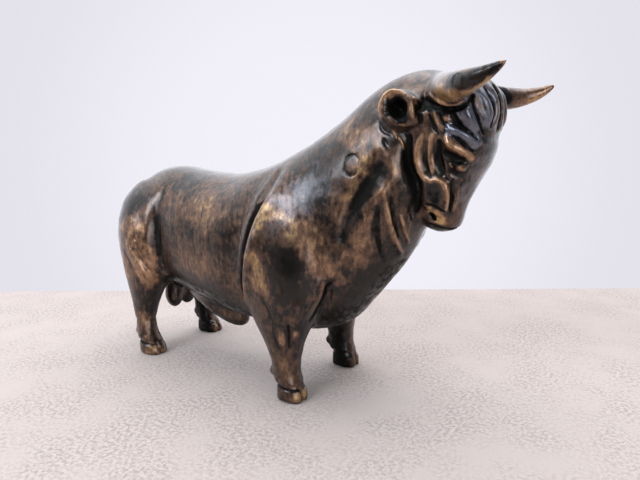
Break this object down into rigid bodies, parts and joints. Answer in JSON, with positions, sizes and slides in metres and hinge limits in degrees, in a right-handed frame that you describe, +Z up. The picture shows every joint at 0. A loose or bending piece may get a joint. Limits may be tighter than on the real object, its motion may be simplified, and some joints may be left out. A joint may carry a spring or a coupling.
{
  "type": "bull sculpture",
  "caption": "Small cast bronze bull standing with its head lowered and horns forward, shoulders and neck folds carved in relief, to stand on a shelf or desk.",
  "frame": {"origin": "middle of the bull's bounding box, on the plane that its hooves stand on", "axes": "+X towards the head, +Y towards the bull's left side, +Z up"},
  "size_m": [0.1314, 0.0458, 0.085],
  "materials": {
    "bronze": "dark brown patina over cast bronze, satin, rubbed through to golden metal on the raised parts"
  },
  "bodies": {
    "root": {"bull": "bronze"}
  },
  "joints": []
}
